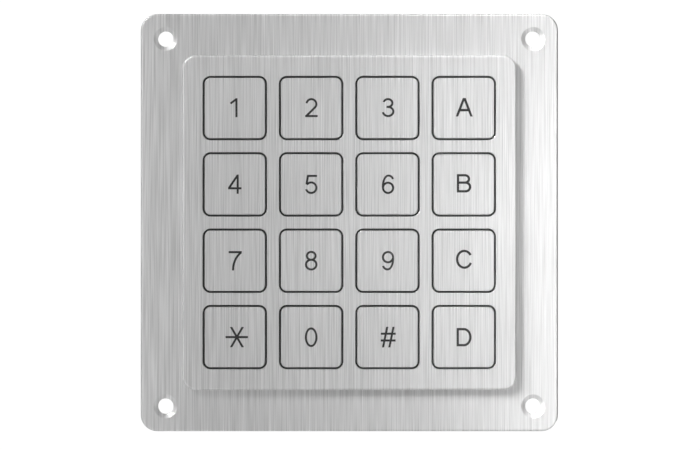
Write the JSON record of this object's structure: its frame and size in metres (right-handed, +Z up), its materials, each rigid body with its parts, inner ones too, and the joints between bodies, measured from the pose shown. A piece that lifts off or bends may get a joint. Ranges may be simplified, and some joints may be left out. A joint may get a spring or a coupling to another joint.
{
  "type": "keypad access reader",
  "caption": "Square stainless panel keypad with a raised platform, flush square push keys, a sealed moulded rear cover and corner mounting holes.",
  "frame": {"origin": "centre of the square pattern of mounting holes, on the flange's rear face", "axes": "-Y out of the front towards the user, +X to the user's right, +Z up"},
  "size_m": [0.1, 0.016, 0.1],
  "materials": {
    "stainless_plate": "vertical brushed grain, satin",
    "stainless_key": "vertical brushed grain, satin",
    "legend_enamel": "baked black enamel fill",
    "black_silicone": "matt silicone",
    "grey_silicone": "matt translucent grey silicone",
    "carbon_pill": "matt carbon-filled silicone",
    "board_laminate": "green solder mask",
    "gold_plating": "thin gold plating",
    "chip_moulding": "black moulding compound, tinned leads",
    "ceramic": "sintered ceramic with tinned ends",
    "white_nylon": "natural nylon",
    "tinned_brass": "bright tin plating",
    "black_abs": "fine spark-eroded texture",
    "screw_steel": "plain stainless",
    "foam_gasket": "closed-cell foam"
  },
  "bodies": {
    "housing": {"front_plate": "stainless_plate", "key_seal": "black_silicone", "dome_mat": "grey_silicone", "circuit_board": "board_laminate", "contact_pads": "gold_plating", "controller_chip": "chip_moulding", "surface_mount_parts": "ceramic", "header_shroud": "white_nylon", "header_pins": "tinned_brass", "rear_cover": "black_abs", "cover_screws": "screw_steel", "panel_gasket": "foam_gasket"},
    "key_1": {"key_1_cap": "stainless_key", "key_1_legend": "legend_enamel", "key_1_contact": "carbon_pill"},
    "key_2": {"key_2_cap": "stainless_key", "key_2_legend": "legend_enamel", "key_2_contact": "carbon_pill"},
    "key_3": {"key_3_cap": "stainless_key", "key_3_legend": "legend_enamel", "key_3_contact": "carbon_pill"},
    "key_a": {"key_a_cap": "stainless_key", "key_a_legend": "legend_enamel", "key_a_contact": "carbon_pill"},
    "key_4": {"key_4_cap": "stainless_key", "key_4_legend": "legend_enamel", "key_4_contact": "carbon_pill"},
    "key_5": {"key_5_cap": "stainless_key", "key_5_legend": "legend_enamel", "key_5_contact": "carbon_pill"},
    "key_6": {"key_6_cap": "stainless_key", "key_6_legend": "legend_enamel", "key_6_contact": "carbon_pill"},
    "key_b": {"key_b_cap": "stainless_key", "key_b_legend": "legend_enamel", "key_b_contact": "carbon_pill"},
    "key_7": {"key_7_cap": "stainless_key", "key_7_legend": "legend_enamel", "key_7_contact": "carbon_pill"},
    "key_8": {"key_8_cap": "stainless_key", "key_8_legend": "legend_enamel", "key_8_contact": "carbon_pill"},
    "key_9": {"key_9_cap": "stainless_key", "key_9_legend": "legend_enamel", "key_9_contact": "carbon_pill"},
    "key_c": {"key_c_cap": "stainless_key", "key_c_legend": "legend_enamel", "key_c_contact": "carbon_pill"},
    "key_star": {"key_star_cap": "stainless_key", "key_star_legend": "legend_enamel", "key_star_contact": "carbon_pill"},
    "key_0": {"key_0_cap": "stainless_key", "key_0_legend": "legend_enamel", "key_0_contact": "carbon_pill"},
    "key_hash": {"key_hash_cap": "stainless_key", "key_hash_legend": "legend_enamel", "key_hash_contact": "carbon_pill"},
    "key_d": {"key_d_cap": "stainless_key", "key_d_legend": "legend_enamel", "key_d_contact": "carbon_pill"}
  },
  "joints": [
    {"name": "press_1", "type": "slide", "parent": "housing", "child": "key_1", "axis": [0, 1, 0], "range_m": [0, 0.0005], "stiffness_N_per_m": 2000, "springref_m": -0.0002, "deforming": ["dome_mat"]},
    {"name": "press_2", "type": "slide", "parent": "housing", "child": "key_2", "axis": [0, 1, 0], "range_m": [0, 0.0005], "stiffness_N_per_m": 2000, "springref_m": -0.0002, "deforming": ["dome_mat"]},
    {"name": "press_3", "type": "slide", "parent": "housing", "child": "key_3", "axis": [0, 1, 0], "range_m": [0, 0.0005], "stiffness_N_per_m": 2000, "springref_m": -0.0002, "deforming": ["dome_mat"]},
    {"name": "press_a", "type": "slide", "parent": "housing", "child": "key_a", "axis": [0, 1, 0], "range_m": [0, 0.0005], "stiffness_N_per_m": 2000, "springref_m": -0.0002, "deforming": ["dome_mat"]},
    {"name": "press_4", "type": "slide", "parent": "housing", "child": "key_4", "axis": [0, 1, 0], "range_m": [0, 0.0005], "stiffness_N_per_m": 2000, "springref_m": -0.0002, "deforming": ["dome_mat"]},
    {"name": "press_5", "type": "slide", "parent": "housing", "child": "key_5", "axis": [0, 1, 0], "range_m": [0, 0.0005], "stiffness_N_per_m": 2000, "springref_m": -0.0002, "deforming": ["dome_mat"]},
    {"name": "press_6", "type": "slide", "parent": "housing", "child": "key_6", "axis": [0, 1, 0], "range_m": [0, 0.0005], "stiffness_N_per_m": 2000, "springref_m": -0.0002, "deforming": ["dome_mat"]},
    {"name": "press_b", "type": "slide", "parent": "housing", "child": "key_b", "axis": [0, 1, 0], "range_m": [0, 0.0005], "stiffness_N_per_m": 2000, "springref_m": -0.0002, "deforming": ["dome_mat"]},
    {"name": "press_7", "type": "slide", "parent": "housing", "child": "key_7", "axis": [0, 1, 0], "range_m": [0, 0.0005], "stiffness_N_per_m": 2000, "springref_m": -0.0002, "deforming": ["dome_mat"]},
    {"name": "press_8", "type": "slide", "parent": "housing", "child": "key_8", "axis": [0, 1, 0], "range_m": [0, 0.0005], "stiffness_N_per_m": 2000, "springref_m": -0.0002, "deforming": ["dome_mat"]},
    {"name": "press_9", "type": "slide", "parent": "housing", "child": "key_9", "axis": [0, 1, 0], "range_m": [0, 0.0005], "stiffness_N_per_m": 2000, "springref_m": -0.0002, "deforming": ["dome_mat"]},
    {"name": "press_c", "type": "slide", "parent": "housing", "child": "key_c", "axis": [0, 1, 0], "range_m": [0, 0.0005], "stiffness_N_per_m": 2000, "springref_m": -0.0002, "deforming": ["dome_mat"]},
    {"name": "press_star", "type": "slide", "parent": "housing", "child": "key_star", "axis": [0, 1, 0], "range_m": [0, 0.0005], "stiffness_N_per_m": 2000, "springref_m": -0.0002, "deforming": ["dome_mat"]},
    {"name": "press_0", "type": "slide", "parent": "housing", "child": "key_0", "axis": [0, 1, 0], "range_m": [0, 0.0005], "stiffness_N_per_m": 2000, "springref_m": -0.0002, "deforming": ["dome_mat"]},
    {"name": "press_hash", "type": "slide", "parent": "housing", "child": "key_hash", "axis": [0, 1, 0], "range_m": [0, 0.0005], "stiffness_N_per_m": 2000, "springref_m": -0.0002, "deforming": ["dome_mat"]},
    {"name": "press_d", "type": "slide", "parent": "housing", "child": "key_d", "axis": [0, 1, 0], "range_m": [0, 0.0005], "stiffness_N_per_m": 2000, "springref_m": -0.0002, "deforming": ["dome_mat"]}
  ]
}
